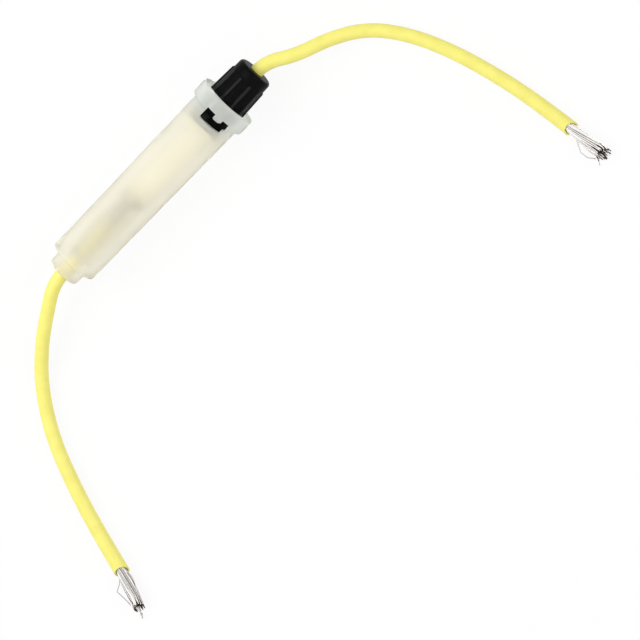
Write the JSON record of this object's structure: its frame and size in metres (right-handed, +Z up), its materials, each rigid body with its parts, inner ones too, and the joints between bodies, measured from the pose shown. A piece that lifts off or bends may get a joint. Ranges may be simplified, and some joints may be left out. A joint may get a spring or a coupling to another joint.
{
  "type": "inline fuse holder",
  "caption": "Twist-lock inline holder for a glass tube fuse: translucent tube with windowed collar, black ribbed cap and a bare-ended lead out of each end.",
  "frame": {"origin": "on the floor, under the middle of the holder from the end of its tail boss to the end of its cap, leads left out", "axes": "+X along the holder's axis towards the cap, +Z up from the floor that the holder lies on, both leads run towards -Y"},
  "size_m": [0.1655, 0.0844, 0.0158],
  "materials": {
    "housing_plastic": "translucent moulded nylon, satin",
    "cap_plastic": "moulded black, semi-gloss",
    "contact_brass": "turned",
    "spring_steel": "plated wire",
    "lead_insulation": "soft yellow insulation",
    "lead_conductor": "tinned copper strands"
  },
  "bodies": {
    "housing": {"housing": "housing_plastic", "tail_spring": "spring_steel"},
    "tail_lead": {"tail_contact": "contact_brass", "tail_lead_insulation": "lead_insulation", "tail_lead_conductor": "lead_conductor"},
    "cap_lead": {"cap_contact": "contact_brass", "cap_lead_insulation": "lead_insulation", "cap_lead_conductor": "lead_conductor"},
    "cap": {"cap": "cap_plastic"}
  },
  "joints": [
    {"name": "cap_pull", "type": "slide", "parent": "housing", "child": "cap_lead", "axis": [1, 0, 0], "range_m": [0, 0.045]},
    {"name": "cap_turn", "type": "hinge", "parent": "cap_lead", "child": "cap", "pos_m": [0.024, 0, 0.0079], "axis": [1, 0, 0], "range_deg": [0, 40.5]},
    {"name": "contact_press", "type": "slide", "parent": "housing", "child": "tail_lead", "axis": [1, 0, 0], "range_m": [-0.005, 0], "stiffness_N_per_m": 800, "deforming": ["tail_spring"]}
  ]
}
